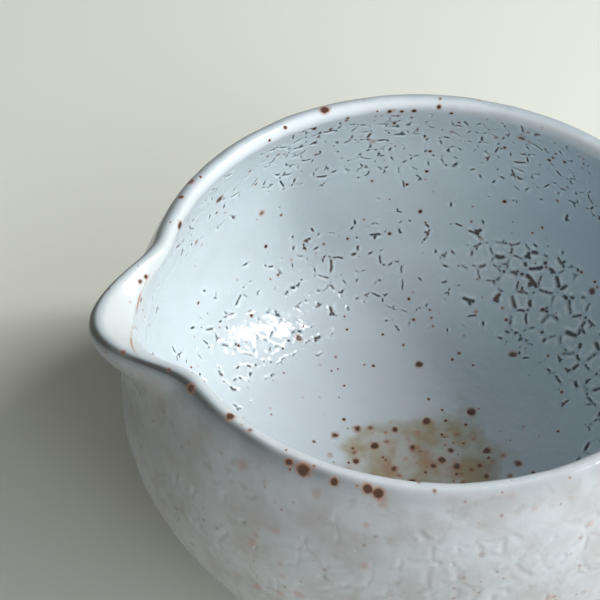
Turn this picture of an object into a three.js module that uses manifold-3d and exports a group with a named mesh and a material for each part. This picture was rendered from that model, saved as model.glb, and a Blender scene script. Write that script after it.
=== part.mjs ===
// A small stoneware tea pitcher: an incurved thrown bowl with a short pouring spout on its rim,
// standing on a low foot ring, with one coat of glaze inside and one outside, and a bare foot.
// Millimetres, +Z up, spout along -X, standing on z = 0 with the origin under its middle.
import * as THREE from "three";
import { mergeVertices } from "three/addons/utils/BufferGeometryUtils.js";
import { ParametricGeometry } from "three/addons/geometries/ParametricGeometry.js";
import Module from "manifold-3d";

const wasm = await Module();
wasm.setup();

// The bowl, measured over its glaze
const HEIGHT = 64; // table to the crest of the rim
const RIM_RADIUS = 46; // axis to the middle of the rim
const RIM_THICKNESS = 3.8;
const BELLY_RADIUS = 54.1; // the widest place, outside
const BELLY_HEIGHT = 38.5; // of the widest place, above the table
const WALL = 4.2; // at the belly
const FLOOR_THICKNESS = 5.2; // in the middle, over the foot's recess
const OUTSIDE_FULLNESS = 1.96; // 2 is an ellipse below the belly, more is squarer
const INSIDE_FULLNESS = 2.5;

// The foot ring, bare clay
const FOOT_RADIUS = 23;
const FOOT_HEIGHT = 5.6;
const FOOT_WIDTH = 4.6;
const FOOT_TAPER = 0.7; // the ring draws in towards the table
const FOOT_BEVEL = 0.5;

// The spout, drawn out of the rim
const SPOUT_REACH = 10.1; // past the rim
const SPOUT_HALF_ANGLE = THREE.MathUtils.degToRad(22); // seen from above, at the rim
const SPOUT_KEEL = 0.6; // share of that angle left where the spout runs out in the wall outside
const SPOUT_DEPTH = 11; // below the crest of the rim, outside
const THROAT_DEPTH = 3.5; // below the crest, where the channel turns down into the wall inside
const FLARE_DEPTH = 16; // below the crest, where the wall inside starts to lean out to the throat
const FLARE_SHARE = 0.82; // of the reach that this lean makes, and the channel the rest
const FLARE_SWEEP = 1.6; // 1 is a straight lean, more is a curve that steepens to the throat
const CHANNEL_SWEEP = 1.3; // the same for the channel's bed, up to the lip
const SPOUT_DROOP = 0.8;

// The seam where the spout is luted into a notch in the bowl
const SEAM_HALF_WIDTH = 14.5;
const SEAM_DEPTH = 9;
const SEAM_FULLNESS = 0.45; // of the notch, 0 is a plain V

// The glaze, and the clearance between pieces that touch
const GLAZE = 0.5;
const GLAZE_STOP = 3; // bare clay between the foot ring and the edge of the outside coat
const CLEARANCE = 0.3;

// Facets
const AROUND = 60;
const CROWDING = 0.55; // the facets stand closer together round the spout
const STATIONS = [7, 7, 6, 7, 8]; // along the five stretches of the outline
const STATION_CROWDING = 1.6; // on the walls the stations stand closer together towards the rim
const LEAST_STEP = 0.2; // between two stations, as a share of an even step
const WELD = 1e-3; // corners closer than this are one

const rimMiddle = HEIGHT - RIM_THICKNESS / 2;
const underside = FOOT_HEIGHT - GLAZE;
const floorTop = FOOT_HEIGHT + FLOOR_THICKNESS;
const rimLean = Math.atan2(2 * (BELLY_RADIUS - RIM_RADIUS - RIM_THICKNESS / 2), rimMiddle - BELLY_HEIGHT);

// The section's outline over the glaze, as five stretches: up the outside from the foot to the belly (0
// to 1) and on to the rim (1 to 2), over the rim (2 to 3), down the inside to the belly (3 to 4) and to
// the middle of the floor (4 to 5).
const [FOOT, BELLY, RIM_OUT, RIM_IN, INNER_BELLY, MIDDLE] = [0, 1, 2, 3, 4, 5];
const crest = RIM_OUT + (Math.PI / 2 - rimLean) / Math.PI;

function onRim(angle) {
  const reach = RIM_THICKNESS / 2;
  return [RIM_RADIUS + reach * Math.cos(angle), rimMiddle + reach * Math.sin(angle)];
}

// From a wall's widest place, share 0, up to the rim, share 1.
function upperWall(belly, [rimR, rimZ], share) {
  return [belly - (belly - rimR) * share ** 2, BELLY_HEIGHT + (rimZ - BELLY_HEIGHT) * share];
}

// From a wall's widest place, share 0, down to its bottom, share 1.
function lowerWall(belly, bottomR, bottomZ, fullness, share) {
  const turn = (share * Math.PI) / 2;
  return [
    bottomR + (belly - bottomR) * Math.max(0, Math.cos(turn)) ** (2 / fullness),
    BELLY_HEIGHT - (BELLY_HEIGHT - bottomZ) * Math.sin(turn) ** (2 / fullness),
  ];
}

function outline(s) {
  const inside = BELLY_RADIUS - WALL;
  if (s <= BELLY) return lowerWall(BELLY_RADIUS, FOOT_RADIUS, underside, OUTSIDE_FULLNESS, BELLY - s);
  if (s <= RIM_OUT) return upperWall(BELLY_RADIUS, onRim(rimLean), s - BELLY);
  if (s <= RIM_IN) return onRim(rimLean + (s - RIM_OUT) * Math.PI);
  if (s <= INNER_BELLY) return upperWall(inside, onRim(rimLean + Math.PI), INNER_BELLY - s);
  return lowerWall(inside, 0, floorTop, INSIDE_FULLNESS, s - INNER_BELLY);
}

// How far the spout is drawn out at an azimuth, as a share of its reach. Outside, it narrows as it runs
// down the wall, where up falls from 1 at the crest to 0.
function across(azimuth, up) {
  const share = azimuth / (SPOUT_HALF_ANGLE * THREE.MathUtils.lerp(SPOUT_KEEL, 1, up));
  return Math.abs(share) < 1 ? Math.cos((share * Math.PI) / 2) ** 2 : 0;
}

// The same at a depth below the crest. Outside, the lip sweeps back to the wall in one curve. Inside, the
// wall leans out to the throat, and a short channel runs on from there to the lip.
function drawnOut(azimuth, depth, toInside) {
  const up = Math.max(0, 1 - depth / SPOUT_DEPTH);
  const outside = Math.sin((up * Math.PI) / 2) * across(azimuth, up);
  const flare = Math.max(0, 1 - depth / FLARE_DEPTH) ** FLARE_SWEEP * across(azimuth, 1);
  const open = Math.max(0, 1 - depth / THROAT_DEPTH);
  const channel = open ** CHANNEL_SWEEP * across(azimuth, open);
  return THREE.MathUtils.lerp(outside, THREE.MathUtils.lerp(channel, flare, FLARE_SHARE), toInside);
}

// A point of the glazed surface: the outline turned round the axis, and drawn out to the spout. Azimuth
// 0 is the middle of the spout.
function surface(s, azimuth) {
  const [r, z] = outline(s);
  const onWall = s > BELLY && s < INNER_BELLY;
  const drawn = onWall ? drawnOut(azimuth, HEIGHT - z, THREE.MathUtils.clamp(s - RIM_OUT, 0, 1)) : 0;
  const reach = r + SPOUT_REACH * drawn;
  return new THREE.Vector3(-reach * Math.cos(azimuth), -reach * Math.sin(azimuth), z - SPOUT_DROOP * drawn);
}

// The same point sunk below the surface, square to it, for the layers under the glaze.
function sunk(s, azimuth, depth) {
  const point = surface(s, azimuth);
  const step = 1e-3;
  const along = surface(Math.min(s + step, MIDDLE), azimuth).sub(surface(Math.max(s - step, FOOT), azimuth));
  const round = surface(s, azimuth + step).sub(surface(s, azimuth - step));
  const outward = s === MIDDLE ? new THREE.Vector3(0, 0, 1) : round.cross(along).normalize();
  return point.addScaledVector(outward, -depth);
}

// Stations along the outline between two places.
function stations(from, to) {
  const places = STATIONS.flatMap((count, stretch) =>
    Array.from({ length: count }, (_, k) => {
      if (stretch === BELLY) return RIM_OUT - (1 - k / count) ** STATION_CROWDING;
      if (stretch === RIM_IN) return RIM_IN + (k / count) ** STATION_CROWDING;
      return stretch + k / count;
    }),
  );
  const apart = LEAST_STEP / Math.max(...STATIONS);
  return [from, ...places.filter((s) => s > from + apart && s < to - apart), to];
}

// A solid of revolution with the spout drawn out of it. The section is a list of places (s, depth) of the
// outline, or fixed points (r, z), that closes on itself or starts and ends on the axis.
function thrown(section) {
  const steps = section.length - 1;
  const geometry = new ParametricGeometry(
    (u, v, target) => {
      const place = section[Math.round(u * steps)];
      const even = (0.5 - v) * 2 * Math.PI;
      const azimuth = even - CROWDING * Math.sin(even);
      if (place.r === undefined) target.copy(sunk(place.s, azimuth, place.depth));
      else target.set(-place.r * Math.cos(azimuth), -place.r * Math.sin(azimuth), place.z);
    },
    steps,
    AROUND,
  );
  geometry.setIndex(facets(section));
  return geometry;
}

// Splits each four-sided facet along the same diagonal of the outline, whichever way the section runs, so
// that layers lie parallel where the spout twists them.
function facets(section) {
  const index = [];
  for (let i = 0; i < AROUND; i++) {
    for (let j = 0; j + 1 < section.length; j++) {
      const a = i * section.length + j;
      const [b, d] = [a + 1, a + section.length];
      const c = d + 1;
      if (section[j + 1].s < section[j].s) index.push(a, b, c, a, c, d);
      else index.push(a, b, d, b, c, d);
    }
  }
  return index;
}

function solid(geometry) {
  const bare = geometry.clone();
  bare.deleteAttribute("normal");
  bare.deleteAttribute("uv");
  const merged = mergeVertices(bare, WELD);
  return new wasm.Manifold(
    new wasm.Mesh({
      numProp: 3,
      vertProperties: merged.attributes.position.array,
      triVerts: new Uint32Array(merged.index.array),
    }),
  );
}

function geometryOf(body) {
  const mesh = body.getMesh();
  const geometry = new THREE.BufferGeometry();
  geometry.setAttribute("position", new THREE.BufferAttribute(mesh.vertProperties, 3));
  geometry.setIndex(new THREE.BufferAttribute(mesh.triVerts, 1));
  geometry.computeVertexNormals();
  return geometry;
}

const glazeMaterial = new THREE.MeshStandardMaterial({ color: 0xd9dcd6, roughness: 0.18, metalness: 0 });
const clayMaterial = new THREE.MeshStandardMaterial({ color: 0x8a6a52, roughness: 0.85, metalness: 0 });

function piece(name, geometry, material) {
  const mesh = new THREE.Mesh(geometry, material);
  mesh.name = name;
  return mesh;
}

// The clay wall and floor in one, with the spout still part of it.
function clayBody() {
  const places = stations(FOOT, MIDDLE).map((s) => ({ s, depth: GLAZE + CLEARANCE }));
  return solid(thrown([{ r: 0, z: FOOT_HEIGHT + CLEARANCE }, ...places]));
}

// A block behind the spout with the notch's rounded V section, grown by the clearance for the bowl's cut.
function notch(grown) {
  const half = SEAM_HALF_WIDTH + grown;
  const bottom = HEIGHT - SEAM_DEPTH - grown;
  const section = new THREE.Shape();
  section.moveTo(-half, HEIGHT + SEAM_DEPTH);
  section.lineTo(-half, HEIGHT);
  section.quadraticCurveTo(-half * SEAM_FULLNESS, bottom, 0, bottom);
  section.quadraticCurveTo(half * SEAM_FULLNESS, bottom, half, HEIGHT);
  section.lineTo(half, HEIGHT + SEAM_DEPTH);
  const length = RIM_RADIUS + SPOUT_REACH;
  const block = new THREE.ExtrudeGeometry(section, { depth: length, bevelEnabled: false, curveSegments: 8 });
  block.rotateX(Math.PI / 2).rotateZ(-Math.PI / 2);
  block.translate(-RIM_RADIUS / 2, 0, 0);
  return solid(block);
}

function outsideGlaze() {
  const stop = Math.asin((GLAZE_STOP / (BELLY_RADIUS - FOOT_RADIUS)) ** (OUTSIDE_FULLNESS / 2));
  const edge = crest - CLEARANCE / RIM_THICKNESS / Math.PI;
  const run = stations((stop * 2) / Math.PI, edge);
  const outer = run.map((s) => ({ s, depth: 0 }));
  const inner = run.map((s) => ({ s, depth: GLAZE })).reverse();
  return thrown([...outer, ...inner, outer[0]]);
}

function insideGlaze() {
  const edge = crest + CLEARANCE / RIM_THICKNESS / Math.PI;
  const run = stations(edge, MIDDLE);
  const under = run.map((s) => ({ s, depth: GLAZE })).reverse();
  return thrown([...under, ...run.map((s) => ({ s, depth: 0 }))]);
}

function footRing() {
  const [outTop, outLow] = [FOOT_RADIUS, FOOT_RADIUS - FOOT_TAPER];
  const [inTop, inLow] = [FOOT_RADIUS - FOOT_WIDTH - FOOT_TAPER, FOOT_RADIUS - FOOT_WIDTH];
  const section = [
    { r: inTop, z: FOOT_HEIGHT },
    { r: inLow, z: FOOT_BEVEL },
    { r: inLow + FOOT_BEVEL, z: 0 },
    { r: outLow - FOOT_BEVEL, z: 0 },
    { r: outLow, z: FOOT_BEVEL },
    { r: outTop, z: FOOT_HEIGHT },
    { r: inTop, z: FOOT_HEIGHT },
  ];
  return thrown(section);
}

const clay = clayBody();
const bowl = clay.subtract(notch(CLEARANCE));
const spout = clay.intersect(notch(0));

const pitcher = new THREE.Group();
pitcher.add(
  piece("thrown_bowl", geometryOf(bowl), clayMaterial),
  piece("pouring_spout", geometryOf(spout), clayMaterial),
  piece("foot_ring", footRing(), clayMaterial),
  piece("outside_glaze", outsideGlaze(), glazeMaterial),
  piece("inside_glaze", insideGlaze(), glazeMaterial),
);

// The spout makes the pitcher longer on one side, so the origin is set under the middle of its length.
const middle = new THREE.Box3().setFromObject(pitcher).getCenter(new THREE.Vector3());
pitcher.position.x = -middle.x;

const part = new THREE.Group();
part.add(pitcher);
export default part;
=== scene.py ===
"""A stoneware tea pitcher: an incurved glazed bowl with a short pouring spout and a bare foot ring."""

import math
import random

import bmesh
import bpy
import numpy as np
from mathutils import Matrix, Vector, noise
from mathutils.geometry import delaunay_2d_cdt
from mathutils.kdtree import KDTree


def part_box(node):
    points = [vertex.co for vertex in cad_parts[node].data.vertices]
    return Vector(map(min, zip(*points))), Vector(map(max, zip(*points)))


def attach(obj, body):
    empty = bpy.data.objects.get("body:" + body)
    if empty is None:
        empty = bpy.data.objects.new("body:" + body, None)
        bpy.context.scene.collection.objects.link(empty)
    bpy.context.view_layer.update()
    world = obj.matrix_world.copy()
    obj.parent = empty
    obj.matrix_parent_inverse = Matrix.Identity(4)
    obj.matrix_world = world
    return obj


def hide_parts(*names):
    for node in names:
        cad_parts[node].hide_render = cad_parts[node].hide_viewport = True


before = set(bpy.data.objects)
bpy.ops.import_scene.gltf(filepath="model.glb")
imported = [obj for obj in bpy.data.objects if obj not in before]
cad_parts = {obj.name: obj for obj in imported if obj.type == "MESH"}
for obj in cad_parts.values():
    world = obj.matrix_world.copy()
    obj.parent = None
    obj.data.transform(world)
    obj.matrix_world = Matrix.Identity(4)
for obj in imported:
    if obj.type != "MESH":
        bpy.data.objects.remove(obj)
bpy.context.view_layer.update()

bl_info = {
    "name": "Spouted Tea Pitcher",
    "version": (1, 1, 0),
    "blender": (4, 5, 0),
    "location": "View3D > Sidebar > Pitcher",
    "description": "Builds a small glazed stoneware pitcher, its foot and its studio",
    "category": "Add Mesh",
}

FOOT_LOW, FOOT_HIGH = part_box("foot_ring")
COAT_LOW, COAT_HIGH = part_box("outside_glaze")
AXIS_X = (FOOT_LOW.x + FOOT_HIGH.x) / 2

# Places along the section: from the foot up the outside, over the rim and down the inside
FOOT, BELLY, RIM_OUT, RIM_IN, INNER_BELLY, MIDDLE = range(6)
SEAM = RIM_OUT + 0.35  # on the crest, where the two coats of glaze meet

# The curves of the wall and the spout. Lengths are in metres, here and below.
OUTSIDE_FULLNESS = 1.96  # 2 is an ellipse below the belly, more is squarer
INSIDE_FULLNESS = 2.5
SPOUT_HALF_ANGLE = math.radians(22)
SPOUT_KEEL = 0.6  # share of that angle left where the spout runs out in the wall outside
SPOUT_DEPTH = 0.011  # below the crest of the rim, outside
FLARE_DEPTH = 0.016  # below the crest, where the wall inside starts to lean out to the throat
FLARE_SHARE = 0.82  # of the reach that this lean makes, and the channel the rest
FLARE_SWEEP = 1.6  # 1 is a straight lean, more is a curve that steepens to the throat
CHANNEL_SWEEP = 1.3  # the same for the channel's bed, up to the lip
SPOUT_DROOP = 0.0008
GLAZE_STOP = 0.003  # bare clay between the foot ring and the edge of the outside coat
CLAY_UNDER = 1.3  # from the glaze's surface down to the clay, in thicknesses of glaze
FOOT_WIDTH = 0.0046
FOOT_BEVEL = 0.0005
FOOT_TAPER = 0.0007

# How finely the pieces are made
CHART_STEPS = 4000
SURFACE_STEP = 1e-3  # along the section and round the axis, to find the way that a surface faces
TINY = 1e-12  # a shorter length has no direction
SAME_PLACE = 1e-6
SAME_FLAT = 1e-9  # the same in a flat layout
NARROWEST = 0.0003  # the radius inside which a flat layout shrinks no faster
SECTION_CORNERS = 90
BOWL_STEPS = 300
FOOT_STEPS = 240
LINING_CORNERS = 160
SEAM_CORNERS = 640
SEAM_ROW = 0.00006  # a row close to the seam keeps both coats one smooth crest
SPOUT_SHARE = 0.45  # the spacing of corners on the spout, as a share of that round it
SPOUT_FROM, SPOUT_TO = 1.55, 3.75  # the stretch of the section that has it
CRACK_CLEAR = 0.00055  # from a crack to the even rows
CRACK_STEP = 0.00042
CRACK_ROWS = (0.0, 1.0, -1.0, 2.2, -2.2)  # of corners beside a crack, in half widths of it
OUTER_ROWS = (4.0, -4.0)  # with half as many corners
LEAST_EDGE = 0.00014  # between the corners beside cracks
WELD = 0.00002

# The network that the cracks follow
ROW_SHARE = 0.87  # from one row of cells to the next, in cells
STRAY = 0.34  # how far a cell's middle strays, in cells
SHORTEST_WALL = 0.0007
LONGEST_WALL = 1.4  # in cells
CLUMPS, CLUMPING = 85, 1.1  # clumps of cracks in a metre, and how much they crowd there
PITS = 0.22  # the share of cracks that stayed a pit
BRANCHES = 0.4  # the share of cracks with a branch
LEAST_BRANCHED = 0.0011  # no shorter crack has a branch
THICK = 1.3  # cracks over this size are the thick ones
THICK_CELL = 1.2  # cells among the thick cracks, against the others
OUTSIDE_SIZE = 1.7  # of the cracks outside
OUTSIDE_CRAWL = 0.32  # the depth of cracks outside, as a share of those inside
STRAGGLE = 0.00007  # how far a crack strays from its line
RUN_OUT = 0.00028  # the length over which a crack's end runs out

# The relief of the glaze
SUNK = -0.00014  # the even glaze, under the solid's surface, which leaves room for its waves
SHALLOWER = 0.6  # the share of that left out inside
DEEPEST = -0.00043  # still over the lining
LIP_PLACE, LIP_BREADTH = 2.3, 1.1  # of the rolled lip, in half widths of its crack
DARK_BREADTH = 1.25  # of the bare clay in a crack, in half widths
WAVES, FINE_WAVES = 105, 290  # in a metre
WAVE_HEIGHT = 0.0001
FINE_SHARE = 0.6  # of a wave's height
RING_PITCH, RING_HEIGHT = 0.0042, 0.00002  # of the throwing rings, which show through inside
THIN_PATCHES = 130  # in a metre

# Colours that go with those of the PitcherColours settings
GREY_GLAZE = (0.42, 0.43, 0.45)
OLIVE_MOTTLE = (0.30, 0.29, 0.25)
BROWN_SPOT = (0.25, 0.20, 0.15)
LIP_WHITE = (0.78, 0.86, 0.89)
# Painted shade: darker blue for the inner wall opposite the spout, which faces away from the tall window
SHADED_WALL_BLUE = (0.455, 0.59, 0.675)
CREST_WHITE = (0.70, 0.72, 0.725)
WARM_WHITE = (0.555, 0.595, 0.575)
POOL_OCHRE = (0.36, 0.285, 0.165)
POOL_RUST = (0.38, 0.19, 0.10)
# Blue-grey of the rim's outer half: thinner glaze there, and partly painted shade where the rim turns from
# the lamps
SHOULDER_BLUE_AND_SHADE = (0.25, 0.33, 0.39)
# Dark clay where the glaze ran thinly on the lip; the same colour is painted shade under the spout's lip
BARE_LIP_AND_SHADE = (0.055, 0.062, 0.058)
RUSTY_CRACK = (0.20, 0.085, 0.035)
PALE_CLAY = (0.34, 0.22, 0.14)
RING_BROWN = (0.14, 0.085, 0.055)
POOL_MIDDLE = (AXIS_X + 0.0025, -0.004, 0.011)

# The studio
FLOOR_HALF = 4.0  # half of the floor's width
FLOOR_PALE = (0.765, 0.77, 0.685)
BACKDROP = (0.80, 0.80, 0.745)
BACKDROP_FROM, BACKDROP_TO = 0.35, 1.3  # from the pitcher, where the floor fades to the backdrop
ROOM_LIGHT = (0.102, 0.101, 0.097)
LAMPS_FACE = Vector((0, 0, 0.03))
CAMERA_AT = (AXIS_X - 0.0584, -0.1618, 0.2299)
CAMERA_FACES = Vector((0.1514, 0.6831, -0.7145))
LENS, SENSOR = 85.56, 36.0  # millimetres
NEAREST_SEEN = 0.01


class PitcherSizes(bpy.types.PropertyGroup):
    """Sizes of the pitcher, over its glaze."""

    height: bpy.props.FloatProperty(
        name="Height", description="Table to the crest of the rim", default=0.064, unit="LENGTH"
    )
    rim_radius: bpy.props.FloatProperty(
        name="Rim radius", description="Axis to the middle of the rim", default=0.046, unit="LENGTH"
    )
    rim_thickness: bpy.props.FloatProperty(
        name="Rim thickness", description="Of the rounded rim", default=0.0038, unit="LENGTH"
    )
    belly_radius: bpy.props.FloatProperty(
        name="Belly radius",
        description="Of the widest place, outside",
        default=(COAT_HIGH.y - COAT_LOW.y) / 2,
        unit="LENGTH",
    )
    belly_height: bpy.props.FloatProperty(
        name="Belly height",
        description="Of the widest place, above the table",
        default=0.0385,
        unit="LENGTH",
    )
    wall: bpy.props.FloatProperty(
        name="Wall", description="Thickness at the belly", default=0.0042, unit="LENGTH"
    )
    floor_top: bpy.props.FloatProperty(
        name="Floor", description="Height of the floor inside", default=0.0108, unit="LENGTH"
    )
    spout_reach: bpy.props.FloatProperty(
        name="Spout reach", description="Past the rim", default=0.0100, unit="LENGTH"
    )
    throat_depth: bpy.props.FloatProperty(
        name="Throat",
        description="Below the crest, where the spout turns down",
        default=0.0035,
        unit="LENGTH",
    )
    glaze: bpy.props.FloatProperty(
        name="Glaze", description="Thickness of the coat", default=0.0005, unit="LENGTH"
    )


class PitcherCrawl(bpy.types.PropertyGroup):
    """The cracks that the glaze drew back into."""

    cell: bpy.props.FloatProperty(
        name="Cell", description="Across one cell of the network", default=0.0034, unit="LENGTH"
    )
    groove: bpy.props.FloatProperty(
        name="Groove", description="Depth of a crack", default=0.00026, unit="LENGTH"
    )
    width: bpy.props.FloatProperty(
        name="Width", description="Half of a crack's width", default=0.0002, unit="LENGTH"
    )
    lip: bpy.props.FloatProperty(
        name="Lip", description="Height of the rolled edge beside a crack", default=0.00012, unit="LENGTH"
    )
    seed: bpy.props.IntProperty(name="Seed", description="Of the random draws", default=7)


class PitcherColours(bpy.types.PropertyGroup):
    """Colours of the glaze and the clay."""

    glaze_white: bpy.props.FloatVectorProperty(
        name="Thick glaze",
        description="Bluish white",
        default=(0.62, 0.675, 0.705),
        subtype="COLOR",
        size=3,
    )
    glaze_thin: bpy.props.FloatVectorProperty(
        name="Thin glaze",
        description="Pinkish grey",
        default=(0.42, 0.385, 0.375),
        subtype="COLOR",
        size=3,
    )
    crack: bpy.props.FloatVectorProperty(
        name="Crack",
        description="Clay at the bottom of a crack",
        default=(0.042, 0.052, 0.055),
        subtype="COLOR",
        size=3,
    )
    iron: bpy.props.FloatVectorProperty(
        name="Iron", description="Specks of iron", default=(0.07, 0.022, 0.010), subtype="COLOR", size=3
    )
    rust: bpy.props.FloatVectorProperty(
        name="Rust", description="Halo round a speck", default=(0.42, 0.16, 0.06), subtype="COLOR", size=3
    )
    clay: bpy.props.FloatVectorProperty(
        name="Clay", description="Bare fired clay", default=(0.22, 0.13, 0.08), subtype="COLOR", size=3
    )


def sizes():
    return bpy.context.scene.pitcher_sizes


def crawl():
    return bpy.context.scene.pitcher_crawl


def colours():
    return bpy.context.scene.pitcher_colours


def upper_wall(belly, rim, share):
    z = sizes().belly_height
    return belly - (belly - rim[0]) * share**2, z + (rim[1] - z) * share


def lower_wall(belly, bottom_r, bottom_z, fullness, share):
    z = sizes().belly_height
    turn = share * math.pi / 2
    return (
        bottom_r + (belly - bottom_r) * np.maximum(0.0, np.cos(turn)) ** (2 / fullness),
        z - (z - bottom_z) * np.sin(turn) ** (2 / fullness),
    )


def on_rim(angle):
    p = sizes()
    half = p.rim_thickness / 2
    return p.rim_radius + half * np.cos(angle), p.height - half + half * np.sin(angle)


def rim_lean():
    p = sizes()
    half = p.rim_thickness / 2
    return math.atan2(2 * (p.belly_radius - p.rim_radius - half), p.height - half - p.belly_height)


def outline(s):
    """Radius and height of the glazed surface at places along the section."""
    p = sizes()
    inside = p.belly_radius - p.wall
    lean = rim_lean()

    def share(start):
        return np.clip(s - start, 0.0, 1.0)

    stretches = (
        lower_wall(p.belly_radius, FOOT_HIGH.y, FOOT_HIGH.z - p.glaze, OUTSIDE_FULLNESS, 1 - share(FOOT)),
        upper_wall(p.belly_radius, on_rim(lean), share(BELLY)),
        on_rim(lean + share(RIM_OUT) * math.pi),
        upper_wall(inside, on_rim(lean + math.pi), 1 - share(RIM_IN)),
        lower_wall(inside, 0.0, p.floor_top, INSIDE_FULLNESS, share(INNER_BELLY)),
    )
    which = np.minimum(np.floor(s), INNER_BELLY).astype(int)
    return tuple(np.choose(which, [stretch[axis] for stretch in stretches]) for axis in (0, 1))


def across(azimuth, up):
    """How far the spout is drawn out at an azimuth, as a share; outside it narrows down the wall."""
    share = azimuth / (SPOUT_HALF_ANGLE * (SPOUT_KEEL + (1 - SPOUT_KEEL) * up))
    return np.where(np.abs(share) < 1, np.cos(share * math.pi / 2) ** 2, 0.0)


def drawn_out(s, azimuth, depth):
    """The same at a depth below the crest: a swept lip outside, a leaning wall and a channel inside."""
    to_inside = np.clip(s - RIM_OUT, 0.0, 1.0)
    up = np.maximum(0.0, 1 - depth / SPOUT_DEPTH)
    lip = np.sin(up * math.pi / 2) * across(azimuth, up)
    flare = np.maximum(0.0, 1 - depth / FLARE_DEPTH) ** FLARE_SWEEP * across(azimuth, 1)
    opened = np.maximum(0.0, 1 - depth / sizes().throat_depth)
    channel = opened**CHANNEL_SWEEP * across(azimuth, opened)
    inner = channel + (flare - channel) * FLARE_SHARE
    on_wall = (s > BELLY) & (s < INNER_BELLY)
    return np.where(on_wall, lip + (inner - lip) * to_inside, 0.0)


def surface(s, azimuth):
    """Points of the glazed surface. Azimuth 0 is the middle of the spout."""
    p = sizes()
    r, z = outline(s)
    drawn = drawn_out(s, azimuth, p.height - z)
    reach = r + p.spout_reach * drawn
    return np.stack(
        (AXIS_X - reach * np.cos(azimuth), -reach * np.sin(azimuth), z - SPOUT_DROOP * drawn), axis=-1
    )


def skin(s, azimuth, rise=0.0):
    """The same points raised square to the surface, or sunk where the rise is negative."""
    s, azimuth, rise = np.broadcast_arrays(*map(np.asarray, (s, azimuth, rise)), subok=False)
    s = s.astype(float)
    further, back = np.minimum(s + SURFACE_STEP, MIDDLE), np.maximum(s - SURFACE_STEP, FOOT)
    along = surface(further, azimuth) - surface(back, azimuth)
    around = surface(s, azimuth + SURFACE_STEP) - surface(s, azimuth - SURFACE_STEP)
    outward = np.cross(around, along)
    length = np.linalg.norm(outward, axis=-1, keepdims=True)
    outward = np.where(length < TINY, (0.0, 0.0, 1.0), outward / np.maximum(length, TINY))
    return surface(s, azimuth) + outward * rise[..., None]


class Chart:
    """A turned surface laid out flat without skewing it, so that cells and facets keep their shape.

    It runs from a border, which lies at radius 1, in towards the end.
    """

    def __init__(self, start, end):
        self.start, self.end = start, end
        self.way = 1 if end > start else -1
        self.crawled = 1.0 if end > start else OUTSIDE_CRAWL
        self.s = np.linspace(start, end, CHART_STEPS)
        r, z = outline(self.s)
        pace = np.hypot(np.diff(r), np.diff(z))
        narrow = np.maximum((r[1:] + r[:-1]) / 2, NARROWEST)
        self.run = np.concatenate(([0.0], np.cumsum(pace)))
        self.shrink = np.concatenate(([0.0], np.cumsum(pace / narrow)))

    def along(self, values, s):
        return np.interp(self.way * np.asarray(s), self.way * self.s, values)

    def moved(self, s, distance):
        """The place a distance further on."""
        return np.interp(self.along(self.run, s) + distance, self.run, self.s)

    def rows(self, first, spacing):
        """Places from the first to the end, as far apart as the spacing at each says."""
        places = [first]
        while self.along(self.run, places[-1]) + spacing(places[-1]) < self.run[-1]:
            places.append(float(self.moved(places[-1], spacing(places[-1]))))
        places[-1] = self.end
        return places

    def flat(self, s, azimuth):
        radius = np.where(np.asarray(s) >= MIDDLE, 0.0, np.exp(-self.along(self.shrink, s)))
        return np.stack((radius * np.cos(azimuth), radius * np.sin(azimuth)), axis=-1)

    def place(self, flat):
        """Back from the flat layout to places along the section and azimuths."""
        radius = np.maximum(np.hypot(flat[..., 0], flat[..., 1]), SAME_FLAT)
        return np.interp(-np.log(radius), self.shrink, self.s), np.arctan2(flat[..., 1], flat[..., 0])

    def scale(self, s):
        """Metres on the surface to one unit of the layout."""
        return outline(s)[0] * np.exp(self.along(self.shrink, s))


def joined_up(flat):
    """Triangles between flat points, whose numbers they hold. Hundreds of cracks of their own shape cross a
    coat, which no modelling operator follows, so its corners are joined by a triangulation instead."""
    _, _, faces, origin, _, _ = delaunay_2d_cdt([Vector(p) for p in flat.tolist()], [], [], 0, SAME_FLAT)
    return np.array([ids[0] for ids in origin])[np.array(faces)]


def circle_centres(corners):
    """Centres of the circles through the corners of flat triangles."""
    a, b, c = corners
    squares = [(point**2).sum(axis=1) for point in corners]
    opposite = (b - c, c - a, a - b)
    double = 2 * sum(point[:, 0] * side[:, 1] for point, side in zip(corners, opposite))
    x = sum(square * side[:, 1] for square, side in zip(squares, opposite))
    y = -sum(square * side[:, 0] for square, side in zip(squares, opposite))
    return np.stack((x, y), axis=-1) / double[:, None]


def network(chart, cell, draw):
    """Walls of a network of uneven cells, as pairs of flat points."""
    middles = []
    for row, s in enumerate(chart.rows(chart.start, lambda _: cell * ROW_SHARE)[:-1]):
        count = max(5, round(2 * math.pi * float(outline(s)[0]) / cell))
        for k in range(count):
            at = float(chart.moved(s, draw.uniform(-STRAY, STRAY) * cell))
            azimuth = (k + row % 2 / 2 + draw.uniform(-STRAY, STRAY)) * 2 * math.pi / count
            middles.append(chart.flat(at, azimuth))
    middles = np.array(middles)
    faces = joined_up(middles)
    centres = circle_centres([middles[faces[:, k]] for k in range(3)])
    first_face, walls = {}, []
    for number, face in enumerate(faces.tolist()):
        for pair in zip(face, face[1:] + face[:1]):
            edge = (min(pair), max(pair))
            if edge in first_face:
                walls.append((centres[first_face[edge]], centres[number]))
            first_face[edge] = number
    return walls


def band(value, low, high, soft):
    """1 between low and high, falling to 0 over a soft edge."""
    return np.clip((value - low) / soft, 0, 1) * np.clip((high - value) / soft, 0, 1)


def waves(points, in_metre):
    """Smooth unevenness at points, between -1 and 1."""
    return np.array([noise.noise(Vector(point) * in_metre) for point in points.tolist()])


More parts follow.
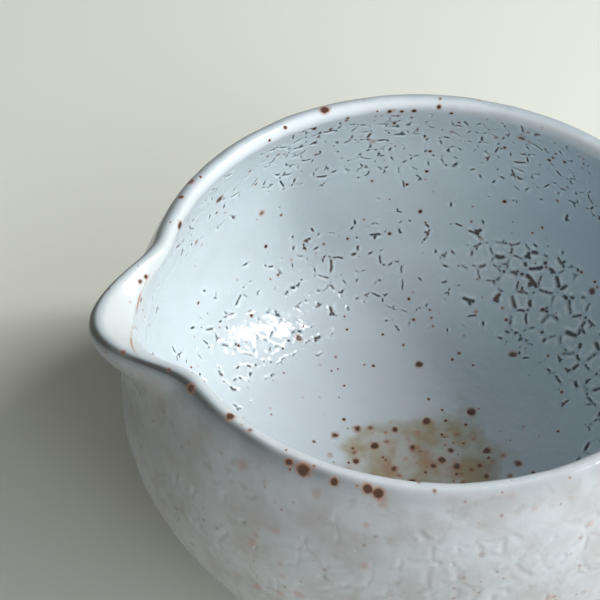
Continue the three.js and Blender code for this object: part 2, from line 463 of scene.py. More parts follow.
def crazing(s, azimuth):
    """How crowded the cracks are at places, as a share, and how big. The bands of s are places along the
    section, and the others degrees round the axis from the middle of the spout."""
    turn = np.abs((np.degrees(azimuth) + 180) % 360 - 180)
    off_spout = np.clip((turn - 20) / 60, 0, 1)
    under_rim = band(s, 2.99, 3.9, 0.12) * (0.22 + 0.62 * off_spout)
    sparse = band(s, 3.8, 4.2, 0.1) * 0.08
    by_highlight = band(s, 4.3, 4.66, 0.06) * band(np.degrees(azimuth), -85, -20, 12)
    lower = band(s, 4.10, 4.64, 0.06) * (0.2 + 0.24 * off_spout + 0.12 * by_highlight)
    patch = band(s, 4.13, 4.56, 0.06) * band(turn, 112, 200, 16)
    inside = np.maximum.reduce((under_rim, sparse, lower, patch))
    size = 0.94 + 0.13 * off_spout + 0.1 * by_highlight + 0.5 * patch
    outside = band(s, 0.3, 1.86, 0.15) * (0.26 + 0.28 * off_spout)
    is_outside = s < RIM_OUT
    return np.where(is_outside, outside, inside), np.where(is_outside, OUTSIDE_SIZE, size)


def cracks(chart, draw):
    """Strokes along some of the walls of a network, a coarser one where the cracks are thick: flat points,
    side, depth as a share, and size."""
    strokes = []
    for cell, is_thick in ((crawl().cell, False), (crawl().cell * THICK_CELL, True)):
        walls = network(chart, cell, draw)
        starts, ends = (np.array([wall[k] for wall in walls]) for k in (0, 1))
        s, azimuth = chart.place((starts + ends) / 2)
        lengths = np.linalg.norm(ends - starts, axis=1) * chart.scale(s)
        crowds, crack_sizes = crazing(s, azimuth)
        fits = (lengths > SHORTEST_WALL) & (lengths < cell * LONGEST_WALL)
        crowds = crowds * (fits & ((crack_sizes > THICK) == is_thick))
        crowds = crowds * (1 + CLUMPING * waves(skin(s, azimuth), CLUMPS))
        for start, end, length, crowd, size in zip(starts, ends, lengths, crowds, crack_sizes):
            if draw.random() < crowd:
                strokes += branched(start, end, length, size, chart.crawled, draw)
    return strokes


def branched(start, end, wall, size, crawled, draw):
    """A crack along part of a wall of the network, sometimes with a branch."""
    slide = draw.choice((0.0, 0.0, 0.5, 1.0, 1.0))
    if draw.random() < PITS / size**2:
        share = draw.uniform(0.14, 0.24)
    elif size > THICK:
        share = draw.uniform(0.6, 1.0)
    else:
        share = draw.uniform(0.4, 0.92)
    bow = draw.uniform(-0.1, 0.1)
    depth = draw.uniform(0.55, 1.0) * crawled
    breadth = draw.uniform(0.75, 1.25) * size
    way = end - start
    length = wall * share
    begin = start + way * (1 - share) * slide
    line = jagged(begin, begin + way * share, length, bow, draw)
    strokes = [(line, *tapered(line, length, depth, draw), breadth)]
    if draw.random() < BRANCHES and length > LEAST_BRANCHED:
        turn = draw.choice((-1, 1)) * draw.uniform(0.9, 1.3)
        reach = draw.uniform(0.3, 0.55) * share
        cos, sin = math.cos(turn), math.sin(turn)
        swung = np.array((cos * way[0] - sin * way[1], sin * way[0] + cos * way[1]))
        root = line[len(line) // 2]
        line = jagged(root, root + swung * reach, wall * reach, 0.0, draw)
        strokes.append((line, *tapered(line, wall * reach, depth, draw), breadth))
    return strokes


def jagged(begin, finish, length, bow, draw):
    """A bowed, uneven line in the flat layout."""
    t = np.linspace(0, 1, max(4, round(length / CRACK_STEP)))
    side = np.array((begin[1] - finish[1], finish[0] - begin[0]))
    uneven = np.array([draw.uniform(-1, 1) for _ in t]) * STRAGGLE / length
    return begin + (finish - begin) * t[:, None] + side * (bow * 4 * t * (1 - t) + uneven)[:, None]


def tapered(line, length, depth, draw):
    """The side of a line, and its depth from end to end."""
    t = np.linspace(0, 1, len(line))
    side = np.array((line[0][1] - line[-1][1], line[-1][0] - line[0][0]))
    uneven = np.array([draw.uniform(0.72, 1.0) for _ in line])
    open_ends = np.minimum(1.0, np.minimum(t, 1 - t) * length / RUN_OUT + 0.2)
    return side / np.linalg.norm(side), open_ends * depth * uneven


class Relief:
    """The height of the glaze over its even surface, how deep in a crack a point lies, and how thick the
    glaze rolled up beside it."""

    def __init__(self, chart, strokes):
        fine, strength, size = [], [], []
        for line, _, taper, breadth in strokes:
            t = np.linspace(0, len(line) - 1, 4 * len(line) - 3)
            whole = np.arange(len(line))
            fine.append(np.stack([np.interp(t, whole, line[:, axis]) for axis in (0, 1)], axis=-1))
            strength.append(np.interp(t, whole, taper))
            size.append(np.full(len(t), breadth))
        self.strength, self.size = np.concatenate(strength), np.concatenate(size)
        self.tree = KDTree(len(self.size))
        for number, point in enumerate(skin(*chart.place(np.concatenate(fine))).tolist()):
            self.tree.insert(point, number)
        self.tree.balance()

    def nearest(self, points):
        """Distance to the nearest crack, in half widths of it, its depth as a share and its size."""
        found = [self.tree.find(point)[1:] for point in points.tolist()]
        number = np.array([f[0] for f in found])
        apart = np.array([f[1] for f in found])
        return apart / (crawl().width * self.size[number]), self.strength[number], self.size[number]

    def at(self, s, points):
        x, strength, size = self.nearest(points)
        depth = strength * size
        cut = depth * np.exp(-(x**2))
        rolled = depth * np.exp(-(((x - LIP_PLACE) / LIP_BREADTH) ** 2))
        wavy = waves(points, WAVES) + FINE_SHARE * waves(points, FINE_WAVES)
        rings = np.sin(2 * math.pi * (points[:, 2] / RING_PITCH + 0.5 * wavy)) * band(s, 2.9, 4.9, 0.3)
        even = SUNK * (1 - SHALLOWER * band(s, 3.1, 5.2, 0.4))
        height = even + WAVE_HEIGHT * wavy + RING_HEIGHT * rings
        height = height - crawl().groove * cut + crawl().lip * rolled
        dark = np.minimum(1.0, strength * np.exp(-((x / DARK_BREADTH) ** 2)))
        return np.maximum(DEEPEST, height), dark, np.minimum(1.0, rolled)


def coat_spacing(s):
    """Between the corners of a coat, closer where it turns over the rim and the spout's lip."""
    places = (FOOT, 1.6, 1.9, 3.0, 3.2, 3.5, MIDDLE)
    return float(np.interp(s, places, (0.0012, 0.0011, 0.00046, 0.00046, 0.0006, 0.0011, 0.0013)))


def lining_spacing(s):
    return float(np.interp(s, (1.0, 2.0, 3.0, 4.0), (0.004, 0.0009, 0.0009, 0.0035)))


def ring(s, spacing, number):
    """Azimuths of the corners in a row, half a step on in every other row."""
    count = max(1, round(2 * math.pi * float(outline(s)[0]) / spacing))
    return (np.arange(count) + number % 2 / 2) * 2 * math.pi / count - math.pi


def even_rows(chart):
    """Rows of corners round the axis, closer together on the spout, as pairs of a place and azimuths. The
    first and the last are the coat's borders."""

    def on_spout(s, azimuth):
        return (abs(azimuth) < SPOUT_HALF_ANGLE) & (SPOUT_FROM < s < SPOUT_TO)

    at_seam = np.arange(SEAM_CORNERS) * 2 * math.pi / SEAM_CORNERS - math.pi
    near_seam = float(chart.moved(chart.start, SEAM_ROW))
    rows = [(chart.start, at_seam), (near_seam, at_seam)]
    coarse = chart.rows(near_seam, coat_spacing)
    for number, s in enumerate(coarse[1:-1]):
        azimuth = ring(s, coat_spacing(s), number)
        rows.append((s, azimuth[~on_spout(s, azimuth)]))
    for number, s in enumerate(chart.rows(near_seam, lambda s: coat_spacing(s) * SPOUT_SHARE)):
        azimuth = ring(s, coat_spacing(s) * SPOUT_SHARE, number)
        rows.append((s, azimuth[on_spout(s, azimuth)]))
    rows.append((chart.end, ring(chart.end, coat_spacing(chart.end), len(coarse))))
    return rows


def beside_cracks(chart, strokes):
    """Corners in rows along each crack, from its bottom to past its rolled lips."""
    lines = np.concatenate([line for line, _, _, _ in strokes])
    sides = np.concatenate([np.repeat(side[None], len(line), axis=0) for line, side, _, _ in strokes])
    reach = np.concatenate([np.full(len(line), breadth) for line, _, _, breadth in strokes])
    reach *= crawl().width / chart.scale(chart.place(lines)[0])
    sides *= reach[:, None]
    rows = [lines + sides * offset for offset in CRACK_ROWS]
    rows += [(lines + sides * offset)[::2] for offset in OUTER_ROWS]
    s, azimuth = chart.place(np.concatenate(rows))
    cubes = np.floor(skin(s, azimuth) / LEAST_EDGE).astype(int)
    _, first = np.unique(cubes, axis=0, return_index=True)
    return s[first], azimuth[first]


def coat_points(chart, strokes, relief):
    """Places and azimuths of a coat's corners, and how many of them its last border has. The borders come
    first and last, and between them the even rows keep clear of the cracks."""
    rows = even_rows(chart)
    first, last = (len(azimuths) for _, azimuths in (rows[0], rows[-1]))
    s = np.concatenate([np.full(len(azimuths), place) for place, azimuths in rows])
    azimuth = np.concatenate([azimuths for _, azimuths in rows])
    apart, _, size = relief.nearest(skin(s, azimuth))
    kept = apart * crawl().width * size > CRACK_CLEAR
    kept[:first] = True
    inner, border = slice(len(s) - last), slice(len(s) - last, None)
    crack_s, crack_azimuth = beside_cracks(chart, strokes)
    s = np.concatenate((s[inner][kept[inner]], crack_s, s[border]))
    azimuth = np.concatenate((azimuth[inner][kept[inner]], crack_azimuth, azimuth[border]))
    return s, azimuth, last


def sink(corners, place, azimuths):
    """Moves corners to the underside of the coat."""
    points = skin(np.full(len(corners), float(place)), np.array(azimuths), -sizes().glaze)
    for v, point in zip(corners, points.tolist()):
        v.co = point


def line_underneath(bm, chart, along, azimuth):
    """Closes a coat underneath with a plain lining, from its border at the seam to its other end."""
    border = [e for e in bm.edges if e.is_boundary]
    at_seam = [e for e in border if abs(e.verts[0][along] - chart.start) < SAME_PLACE]
    at_end = [e for e in border if abs(e.verts[0][along] - chart.start) >= SAME_PLACE]
    made = bmesh.ops.extrude_edge_only(bm, edges=at_seam)["geom"]
    lining = [g for g in made if isinstance(g, bmesh.types.BMEdge)]
    corners = [g for g in made if isinstance(g, bmesh.types.BMVert)]
    sink(corners, chart.start, [v[azimuth] for v in corners])
    for place in chart.rows(chart.start, lining_spacing)[1:-1]:
        made = bmesh.ops.create_circle(bm, segments=LINING_CORNERS, radius=1.0)["verts"]
        sink(made, place, [math.atan2(v.co.y, v.co.x) for v in made])
        below = list(dict.fromkeys(e for v in made for e in v.link_edges))
        bmesh.ops.bridge_loops(bm, edges=lining + below)
        lining = below
    if at_end:
        bmesh.ops.bridge_loops(bm, edges=lining + at_end)
    else:
        bmesh.ops.contextual_create(bm, geom=lining)
    for edge in at_seam + at_end:
        edge.smooth = False
    bmesh.ops.remove_doubles(bm, verts=bm.verts, dist=WELD)
    bmesh.ops.recalc_face_normals(bm, faces=bm.faces)


# What the glaze's material reads at each corner. Turn is the azimuth without its sign and side its sine,
# so that neither jumps opposite the spout.
SHOWN = ("along", "turn", "side", "crack", "thick", "thin_and_shade")


def coat(name, chart):
    """A coat of glaze with its cracks cut in, closed underneath by a plain lining."""
    draw = random.Random(f"{crawl().seed} {name}")
    strokes = cracks(chart, draw)
    relief = Relief(chart, strokes)
    s, azimuth, last_border = coat_points(chart, strokes, relief)
    faces = joined_up(chart.flat(s, azimuth))
    if chart.end < MIDDLE:
        in_hole = (faces >= len(s) - last_border).all(axis=1)
        faces = faces[~in_hole]
    rise, crack, thick = relief.at(s, skin(s, azimuth))
    shown = (azimuth, s, abs(azimuth), np.sin(azimuth), crack, thick, thinness_and_shade(s, azimuth))

    bm = bmesh.new()
    layers = {key: bm.verts.layers.float.new(key) for key in ("azimuth", *SHOWN)}
    verts = [bm.verts.new(point) for point in skin(s, azimuth, rise).tolist()]
    for layer, values in zip(layers.values(), shown):
        for v, value in zip(verts, values.tolist()):
            v[layer] = value
    for face in faces.tolist():
        bm.faces.new([verts[k] for k in face])
    line_underneath(bm, chart, layers["along"], layers["azimuth"])
    return finished(bm, name)


def thinness_and_shade(s, azimuth):
    """How thinly the glaze ran over the lip's outer edge, most of all beside the spout, as a share, with
    painted shade added on the outer wall under the spout's lip.
    """
    degrees = np.degrees(azimuth)
    beside_spout = np.exp(-(((degrees - 5) / 42) ** 2))
    shade_under_spout = np.exp(-(((degrees - 2) / 32) ** 2))
    edge = band(s, 1.95, 2.34, 0.14) * (0.1 + 0.2 * band(degrees, -30, 75, 40) + 0.6 * beside_spout)
    # The second band is painted shade on the outer wall under the spout's lip, where the lip overhangs it
    wall = band(s, 1.9, 2.55, 0.3) * 0.12 + band(s, 1.0, 2.1, 0.4) * 0.4 * shade_under_spout
    patchy = 1 + 0.5 * waves(skin(s, azimuth), THIN_PATCHES)
    return np.clip((edge + wall) * patchy, 0, 1)


def finished(bm, name):
    for face in bm.faces:
        face.smooth = True
    mesh = bpy.data.meshes.new(name)
    bm.to_mesh(mesh)
    bm.free()
    piece = bpy.data.objects.new(name, mesh)
    bpy.context.scene.collection.objects.link(piece)
    return piece


def spun(name, section, steps, drawn=0.0):
    """Turns a section of (along, radius, height) about the pitcher's axis into a new piece. Where it is
    drawn, the spout is drawn out of it that deep under the glazed surface."""
    bm = bmesh.new()
    along = bm.verts.layers.float.new("along")
    verts = []
    for s, r, z in section:
        v = bm.verts.new((AXIS_X - r, 0, z))
        v[along] = s
        verts.append(v)
    edges = [bm.edges.new(pair) for pair in zip(verts, verts[1:])]
    bmesh.ops.spin(
        bm,
        geom=verts + edges,
        cent=(AXIS_X, 0, 0),
        axis=(0, 0, 1),
        angle=2 * math.pi,
        steps=steps,
        use_merge=True,
    )
    bmesh.ops.remove_doubles(bm, verts=bm.verts, dist=SAME_PLACE)
    bmesh.ops.recalc_face_normals(bm, faces=bm.faces)
    if drawn:
        walls = [v for v in bm.verts if BELLY < v[along] < INNER_BELLY]
        s = np.array([v[along] for v in walls])
        azimuth = np.array([math.atan2(-v.co.y, AXIS_X - v.co.x) for v in walls])
        for v, point in zip(walls, skin(s, azimuth, -drawn).tolist()):
            v.co = point
    return finished(bm, name)


class Tree:
    """Builds a node tree: each call makes one node, sets it up and links its inputs."""

    def __init__(self, name, tree=None):
        if not tree:
            self.material = bpy.data.materials.new(name)
            self.material.use_nodes = True
            tree = self.material.node_tree
        self.nodes, self.links = tree.nodes, tree.links
        self.shader = self.nodes.get("Principled BSDF")

    def node(self, kind, output=0, settings=None, **inputs):
        """Inputs go by their names, or by their numbers after an underscore."""
        made = self.nodes.new(kind)
        for key, value in (settings or {}).items():
            setattr(made, key, value)
        for key, value in inputs.items():
            self.join(made.inputs[int(key[1:]) if key[0] == "_" else key], value)
        return Socket(self, made.outputs[output])

    def join(self, socket, value):
        if isinstance(value, Socket):
            self.links.new(value.socket, socket)
        else:
            socket.default_value = value

    def apart(self, place, centre):
        distance = {"operation": "DISTANCE"}
        return self.node("ShaderNodeVectorMath", output=1, settings=distance, _0=place, _1=centre)

    def looked_at(self):
        """1 for rays from the camera and for what gloss mirrors, 0 for those that light the piece."""
        seen = self.node("ShaderNodeLightPath")
        return seen.most(seen.beside("Is Glossy Ray")).most(seen.beside("Is Transmission Ray"))

    def attribute(self, name):
        return self.node("ShaderNodeAttribute", output=2, settings={"attribute_name": name})

    def noise(self, place, scale, detail=2.0):
        return self.node("ShaderNodeTexNoise", Vector=place, Scale=scale, Detail=detail)

    def mix(self, factor, low, high):
        kind = {"data_type": "RGBA"}
        return self.node("ShaderNodeMix", output=2, settings=kind, _0=factor, _6=shade(low), _7=shade(high))

    def ramp(self, value, low, high):
        """0 below low, 1 above high, smooth between."""
        smooth = {"interpolation_type": "SMOOTHSTEP"}
        return self.node("ShaderNodeMapRange", settings=smooth, Value=value, _1=low, _2=high)

    def between(self, value, rise, fall):
        """0, then 1 after the rise, and 0 again after the fall."""
        return self.ramp(value, *rise) * (1 - self.ramp(value, *fall))

    def set(self, name, value):
        self.join(self.shader.inputs[name], value)


class Socket:
    """An output that can be used in sums."""

    def __init__(self, tree, socket):
        self.tree = tree
        self.socket = socket

    def maths(self, operation, first, second):
        return self.tree.node("ShaderNodeMath", settings={"operation": operation}, _0=first, _1=second)

    def __add__(self, other):
        return self.maths("ADD", self, other)

    def __mul__(self, other):
        return self.maths("MULTIPLY", self, other)

    def __sub__(self, other):
        return self.maths("SUBTRACT", self, other)

    def __rsub__(self, other):
        return self.maths("SUBTRACT", other, self)

    def __truediv__(self, other):
        return self.maths("DIVIDE", self, other)

    def absolute(self):
        return self.maths("ABSOLUTE", self, 0.0)

    def least(self, other):
        return self.maths("MINIMUM", self, other)

    def most(self, other):
        return self.maths("MAXIMUM", self, other)

    __radd__ = __add__
    __rmul__ = __mul__

    def beside(self, output):
        """Another output of the same node."""
        return Socket(self.tree, self.socket.node.outputs[output])


def shade(colour):
    return colour if isinstance(colour, Socket) else (*tuple(colour)[:3], 1.0)


# Specks that stand out: place along the section, azimuth in degrees, radius
MARKS = (
    (2.44, -80.0, 0.0011),
    (2.06, -44.5, 0.0006),
    (2.20, -40.0, 0.0009),
    (2.30, -34.5, 0.0006),
    (2.13, 22.0, 0.0009),
    (2.35, 32.5, 0.0009),
    (2.10, 47.5, 0.0008),
    (2.06, 50.5, 0.0013),
    (2.04, 56.5, 0.0008),
    (2.02, 64.5, 0.0011),
    (2.08, 62.5, 0.0010),
    (2.90, -96.0, 0.0006),
    (2.93, -99.0, 0.0005),
    (2.92, -102.0, 0.0006),
    (3.03, -77.0, 0.0006),
    (2.79, -11.5, 0.0005),
    (3.06, -8.0, 0.0005),
    (3.09, -1.5, 0.00045),
)


class GlazeTree(Tree):
    """The glaze's nodes, with what they read at each place. Along is the place on the section: the rim runs
    from 2 outside to 3 inside, and the lower wall and floor inside from 4 to 5."""

    def __init__(self):
        super().__init__("crawled_glaze")
        self.place = self.node("ShaderNodeTexCoord", output=3)
        self.along, self.turn, self.side, self.crack, self.thick, self.thin_and_shade = map(self.attribute, SHOWN)
        self.outside = 1 - self.ramp(self.along, 1.95, 2.5)
        self.on_floor = self.ramp(self.along, 4.55, 4.7)
        self.from_pool = self.apart(self.place, POOL_MIDDLE)
        self.cloud = self.noise(self.place, 60.0, 3.0)

    def patchy(self, scale, low, high, detail=2.0):
        """Soft patches, 0 between them and 1 in them."""
        return self.ramp(self.noise(self.place, scale, detail), low, high)

    def uneven(self, scale, amount, detail=2.0):
        """What makes an edge uneven when it is added to the distance from it."""
        return (self.noise(self.place, scale, detail) - 0.5) * amount

    def marks(self):
        """Distance to the nearest mark, in radii of it."""
        nearest = 9.0
        for s, degrees, radius in MARKS:
            centre = tuple(skin(s, math.radians(degrees)).tolist())
            nearest = (self.apart(self.place, centre) / radius).least(nearest)
        return nearest

    def specks(self, scale, radius, share):
        """Distance to the nearest speck of a scatter, in radii of it. A share of the cells has a speck."""
        apart = self.node("ShaderNodeTexVoronoi", Vector=self.place, Scale=scale, Randomness=1.0)
        chance = self.node("ShaderNodeSeparateColor", Color=apart.beside(1))
        return apart / ((1 - self.ramp(chance, 0.0, share)) * (radius * scale) + 1e-4)


def even_glaze(t):
    """The glaze where nothing marked it: bluish white inside, thinner and greyer outside."""
    c = colours()
    patches = t.patchy(150.0, 0.34, 0.66, 4.0)
    thinner = t.mix(patches * 0.5, GREY_GLAZE, c.glaze_thin)
    clouded = t.ramp(t.cloud, 0.35, 0.72) * 0.2
    return t.mix(clouded.most(t.outside * (0.7 + patches * 0.3)), c.glaze_white, thinner)


def mottled(t, tone):
    """Rust flecks, olive mottling and brown spots, outside."""
    flecks = 1 - t.ramp(t.specks(330.0, 0.0011, 0.35) + t.uneven(500.0, 1.2), 0.4, 1.3)
    tone = t.mix(flecks * t.outside * 0.34, tone, colours().rust)
    mottling = t.patchy(430.0, 0.5, 0.68, 4.0) * t.patchy(110.0, 0.35, 0.65)
    tone = t.mix(mottling * t.outside * 0.4, tone, OLIVE_MOTTLE)
    spots = 1 - t.ramp(t.specks(170.0, 0.0013, 0.22) + t.uneven(500.0, 0.8), 0.3, 1.2)
    return t.mix(spots * t.outside * 0.5, tone, BROWN_SPOT)


def tinted(t, tone):
    """Paler on the rolled lips and the crest, a painted shade of darker blue on the inner wall opposite the
    spout, which faces away from the tall window, and warmer white at the spout.
    """
    tone = t.mix(t.thick * (0.8 - t.outside * 0.6), tone, LIP_WHITE)
    # Painted shade on the inner wall opposite the spout, which is turned away from the tall window
    shaded_wall = t.ramp(t.turn, 1.7, 2.7) * t.between(t.along, (2.5, 3.0), (4.5, 5.0))
    tone = t.mix(shaded_wall * (1 - t.thick) * 0.8, tone, SHADED_WALL_BLUE)
    tone = t.mix(t.between(t.along, (2.45, 2.6), (2.95, 3.15)) * 0.5, tone, CREST_WHITE)
    warmer = (1 - t.ramp(t.turn, 0.2, 1.1)) * t.between(t.along, (2.1, 2.4), (2.8, 4.2))
    return t.mix(warmer * 0.65, tone, WARM_WHITE)


def pooled(t, tone):
    """The pool of iron over the middle of the floor."""
    pool = (1 - t.ramp(t.from_pool + t.uneven(90.0, 0.03, 3.0), 0.009, 0.0175)) * t.on_floor
    stain = pool * (0.4 + t.patchy(150.0, 0.32, 0.56, 4.0) * 0.6)
    tone = t.mix(stain * 0.95, tone, POOL_OCHRE)
    return t.mix(stain * t.patchy(95.0, 0.46, 0.6) * 0.75, tone, POOL_RUST)


def run_thin(t, tone):
    """Where the glaze ran thinly, and painted shade: rust along the spout's sill, a blue-grey band on the
    rim's outer half that is partly painted shade where the rim turns from the lamps, and the lip's dark
    edge with painted shade under the spout's lip.
    """
    off_middle = t.side + 0.07
    sill = (t.along + off_middle * off_middle * 11.5 - 3.06).absolute()
    on_sill = (1 - t.ramp(sill, 0.008, 0.03)) * (1 - t.ramp(t.turn, 0.16, 0.24))
    tone = t.mix(on_sill * t.patchy(330.0, 0.38, 0.6) * 0.75, tone, colours().rust)
    # Partly painted shade: the blue-grey band on the rim's outer half is strongest where the rim turns from
    # the lamps, and fades on the near side, which they light
    inner_edge = t.along + t.ramp(t.side, 0.3, 0.78) * 0.25 + t.uneven(160.0, 0.3)
    rim_band_and_shade = t.ramp(t.along, 1.85, 2.02) * (1 - t.ramp(inner_edge, 2.28, 2.56))
    tone = t.mix(rim_band_and_shade * (0.5 - t.ramp(t.side, 0.72, 0.99) * 0.42), tone, SHOULDER_BLUE_AND_SHADE)
    # Dark lip edge where the glaze ran thinly, and painted shade under the spout's lip
    return t.mix(t.thin_and_shade, tone, BARE_LIP_AND_SHADE)


def specked(t, tone):
    """Iron specks with a rusty halo: the marks and four scatters, crowded by the rim and at the pool."""
    by_rim = t.ramp(t.along, 3.9, 3.1)
    near_rim = by_rim * t.ramp(t.turn, 0.9, 1.5) * 0.24 + by_rim * 0.1
    gathered = (1 - t.ramp(t.from_pool + t.uneven(90.0, 0.02), 0.006, 0.026)) * t.on_floor
    scatters = (
        (560.0, 0.00045, near_rim + gathered * 0.2 + 0.32),
        (260.0, 0.00055, near_rim + 0.2),
        (430.0, 0.00105, gathered * 0.85 + 0.02),
        (300.0, 0.0008, gathered * 0.4 + 0.01),
    )
    marked = t.marks()
    apart = marked
    for scatter in scatters:
        apart = apart.least(t.specks(*scatter))
    apart = apart + t.uneven(900.0, 0.7)
    clear = 1 - t.outside * t.ramp(marked, 1.5, 3.0) * 0.75
    tone = t.mix((1 - t.ramp(apart, 0.65, 1.4)) * clear * 0.6, tone, colours().rust)
    return t.mix((1 - t.ramp(apart, 0.5, 0.95)) * clear, tone, colours().iron)


def cracked(t, tone):
    """Bare clay at the bottom of the cracks, rusty in patches and outside."""
    rusty = (t.patchy(70.0, 0.5, 0.62) * 0.5).most(t.outside * 0.8)
    clay = t.mix(rusty * 0.7, colours().crack, RUSTY_CRACK)
    return t.mix(t.ramp(t.crack, 0.2, 0.62) * (1.0 - t.outside * 0.62), tone, clay)


def glaze_material():
    t = GlazeTree()
    tone = even_glaze(t)
    for change in (mottled, tinted, pooled, run_thin, specked, cracked):
        tone = change(t, tone)
    t.set("Base Color", tone)
    t.set("Roughness", 0.13 + t.crack * 0.35 + t.ramp(t.cloud, 0.4, 0.8) * 0.06)
    t.set("IOR", 1.5)
    peel = t.noise(t.place, 520.0)
    t.set("Normal", t.node("ShaderNodeBump", Strength=0.45, Distance=0.0002, Height=peel))
    return t.material


def clay_material():
    """Sandy clay with the rings that the tool left, the same all round the axis."""
    t = Tree("bare_clay")
    place = t.node("ShaderNodeTexCoord", output=3)
    grain = t.noise(place, 900.0, 6.0)
    flat = t.node("ShaderNodeVectorMath", settings={"operation": "MULTIPLY"}, _0=place, _1=(1.0, 1.0, 0.0))
    height = t.node("ShaderNodeSeparateXYZ", output=2, Vector=place)
    on_section = t.node("ShaderNodeCombineXYZ", X=t.apart(flat, (AXIS_X, 0.0, 0.0)), Z=height)
    rings = t.noise(on_section, 900.0)
    tone = t.mix(t.ramp(grain, 0.35, 0.7), colours().clay, PALE_CLAY)
    t.set("Base Color", t.mix(t.ramp(rings, 0.45, 0.7) * 0.35, tone, RING_BROWN))
    t.set("Roughness", 0.85)
    relief = grain * 0.6 + rings * 0.8
    t.set("Normal", t.node("ShaderNodeBump", Strength=0.5, Distance=0.0003, Height=relief))
    return t.material


class PITCHER_OT_glaze(bpy.types.Operator):
    """Adds the coats of glaze over the wall, rim, spout and floor"""

    bl_idname = "pitcher.glaze"
    bl_label = "Glaze"

    def execute(self, context):
        material = glaze_material()
        stop = math.asin((GLAZE_STOP / (sizes().belly_radius - FOOT_HIGH.y)) ** (OUTSIDE_FULLNESS / 2))
        coats = (
            ("outside_coat", "outside_glaze", stop * 2 / math.pi),
            ("inside_coat", "inside_glaze", MIDDLE),
        )
        for name, node, end in coats:
            piece = coat(name, Chart(SEAM, end))
            piece.data.materials.append(material)
            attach(piece, "root")
            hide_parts(node)
        return {"FINISHED"}


def bowl_section(under):
    """The bowl's clay under its glaze, closed to the axis at the recess and at the middle of the floor."""
    run = np.linspace(FOOT, MIDDLE, SECTION_CORNERS)
    points = skin(run, np.full(len(run), math.pi), -under)
    section = [(FOOT, 0.0, FOOT_HIGH.z)]
    section += [(s, x - AXIS_X, z) for s, (x, _, z) in zip(run.tolist(), points.tolist())]
    section[-1] = (MIDDLE, 0.0, section[-1][2])
    return section


def foot_section():
    """The foot ring: bevelled where it stands, tapered and closed on itself."""
    outer = FOOT_HIGH.y
    inner = outer - FOOT_WIDTH
    corners = (
        (inner - FOOT_TAPER, FOOT_HIGH.z),
        (inner, FOOT_BEVEL),
        (inner + FOOT_BEVEL, 0.0),
        (outer - FOOT_TAPER - FOOT_BEVEL, 0.0),
        (outer - FOOT_TAPER, FOOT_BEVEL),
        (outer, FOOT_HIGH.z),
        (inner - FOOT_TAPER, FOOT_HIGH.z),
    )
    return [(FOOT, r, z) for r, z in corners]


class PITCHER_OT_clay(bpy.types.Operator):
    """Adds the bare clay of the bowl, with its turned foot ring"""

    bl_idname = "pitcher.clay"
    bl_label = "Clay"

    def execute(self, context):
        material = clay_material()
        under = sizes().glaze * CLAY_UNDER
        bowl = spun("clay_bowl", bowl_section(under), BOWL_STEPS, under)
        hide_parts("thrown_bowl", "pouring_spout")
        foot = spun("turned_foot", foot_section(), FOOT_STEPS)
        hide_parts("foot_ring")
        for piece in (bowl, foot):
            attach(piece, "root")
            piece.data.materials.append(material)
        return {"FINISHED"}


def floor_material():
    """A pale floor, which fades to the backdrop for what looks at it and not for what it lights."""
    t = Tree("pale_floor")
    t.set("Base Color", shade(FLOOR_PALE))
    t.set("Roughness", 0.9)
    away = t.apart(t.node("ShaderNodeTexCoord", output=3), (0.0, 0.0, 0.0))
    pale = t.node("ShaderNodeEmission", Color=shade(BACKDROP), Strength=1.0)
    near = Socket(t, t.shader.outputs["BSDF"])
    faded = t.ramp(away, BACKDROP_FROM, BACKDROP_TO) * t.looked_at()
    both = t.node("ShaderNodeMixShader", _0=faded, _1=near, _2=pale)
    t.join(t.nodes["Material Output"].inputs["Surface"], both)
    return t.material


def add_floor():
    bm = bmesh.new()
    bmesh.ops.create_grid(bm, x_segments=1, y_segments=1, size=FLOOR_HALF)
    mesh = bpy.data.meshes.new("floor")
    bm.to_mesh(mesh)
    bm.free()
    floor = bpy.data.objects.new("floor", mesh)
    bpy.context.scene.collection.objects.link(floor)
    floor.data.materials.append(floor_material())


def add_world():
    world = bpy.data.worlds.new("studio")
    world.use_nodes = True
    t = Tree("studio", world.node_tree)
    t.shader = t.nodes["Background"]
    t.set("Color", t.mix(t.looked_at(), ROOM_LIGHT, BACKDROP))
    t.set("Strength", 1.0)
    bpy.context.scene.world = world


# Name, place, width, height, power and colour of each lamp, and whether the glaze mirrors it
LAMPS = (
    ("tall window", (0.852, -0.128, 0.834), 0.11, 0.7, 11.6, (0.95, 0.965, 0.965), True),
    ("side window", (0.589, -0.444, 0.516), 1.3, 0.6, 6.7, (0.90, 0.95, 1.0), False),
    ("pale wall", (0.067, -0.760, 0.477), 0.6, 0.4, 2.0, (0.90, 0.95, 1.0), False),
)


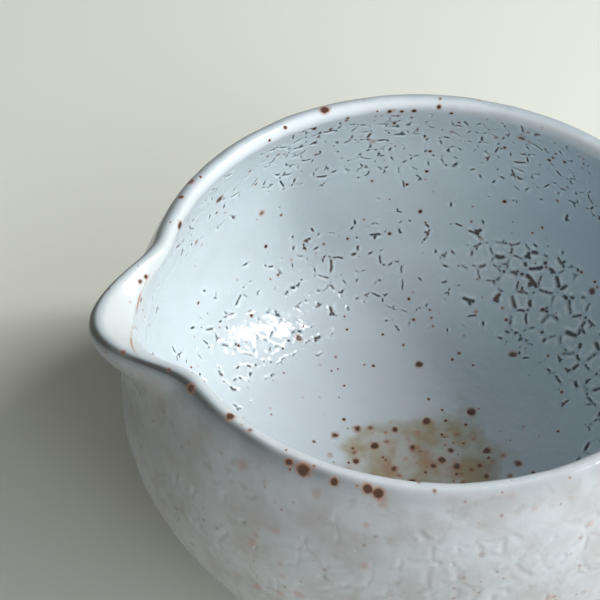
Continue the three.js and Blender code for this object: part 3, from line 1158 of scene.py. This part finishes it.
def add_lamp(name, place, width, height, power, colour, mirrored):
    light = bpy.data.lights.new(name, "AREA")
    light.shape = "RECTANGLE"
    light.size, light.size_y = width, height
    light.energy = power
    light.color = colour
    lamp = bpy.data.objects.new(name, light)
    bpy.context.scene.collection.objects.link(lamp)
    lamp.visible_glossy = mirrored
    lamp.location = place
    lamp.rotation_euler = (LAMPS_FACE - Vector(place)).to_track_quat("-Z", "Y").to_euler()


def add_camera():
    camera = bpy.data.cameras.new("photo_camera")
    camera.lens = LENS
    camera.sensor_width = SENSOR
    camera.clip_start = NEAREST_SEEN
    seen = bpy.data.objects.new("photo_camera", camera)
    bpy.context.scene.collection.objects.link(seen)
    seen.location = CAMERA_AT
    seen.rotation_euler = CAMERA_FACES.to_track_quat("-Z", "Y").to_euler()
    bpy.context.scene.camera = seen


class PITCHER_OT_stage(bpy.types.Operator):
    """Adds the floor, the lights and the camera"""

    bl_idname = "pitcher.stage"
    bl_label = "Stage"

    def execute(self, context):
        add_floor()
        add_world()
        for lamp in LAMPS:
            add_lamp(*lamp)
        add_camera()
        context.scene.view_settings.view_transform = "Standard"
        return {"FINISHED"}


class PITCHER_PT_panel(bpy.types.Panel):
    """Lists the steps that build the pitcher"""

    bl_idname = "PITCHER_PT_panel"
    bl_label = "Tea Pitcher"
    bl_space_type = "VIEW_3D"
    bl_region_type = "UI"
    bl_category = "Pitcher"

    def draw(self, context):
        for operator in (PITCHER_OT_glaze, PITCHER_OT_clay, PITCHER_OT_stage):
            self.layout.operator(operator.bl_idname)


CLASSES = (
    PitcherSizes,
    PitcherCrawl,
    PitcherColours,
    PITCHER_OT_glaze,
    PITCHER_OT_clay,
    PITCHER_OT_stage,
    PITCHER_PT_panel,
)


def register():
    for cls in CLASSES:
        bpy.utils.register_class(cls)
    bpy.types.Scene.pitcher_sizes = bpy.props.PointerProperty(type=PitcherSizes)
    bpy.types.Scene.pitcher_crawl = bpy.props.PointerProperty(type=PitcherCrawl)
    bpy.types.Scene.pitcher_colours = bpy.props.PointerProperty(type=PitcherColours)


def unregister():
    del bpy.types.Scene.pitcher_colours
    del bpy.types.Scene.pitcher_crawl
    del bpy.types.Scene.pitcher_sizes
    for cls in reversed(CLASSES):
        bpy.utils.unregister_class(cls)


def main():
    register()
    bpy.ops.pitcher.stage()
    bpy.ops.pitcher.clay()
    bpy.ops.pitcher.glaze()


if __name__ == "__main__":
    main()
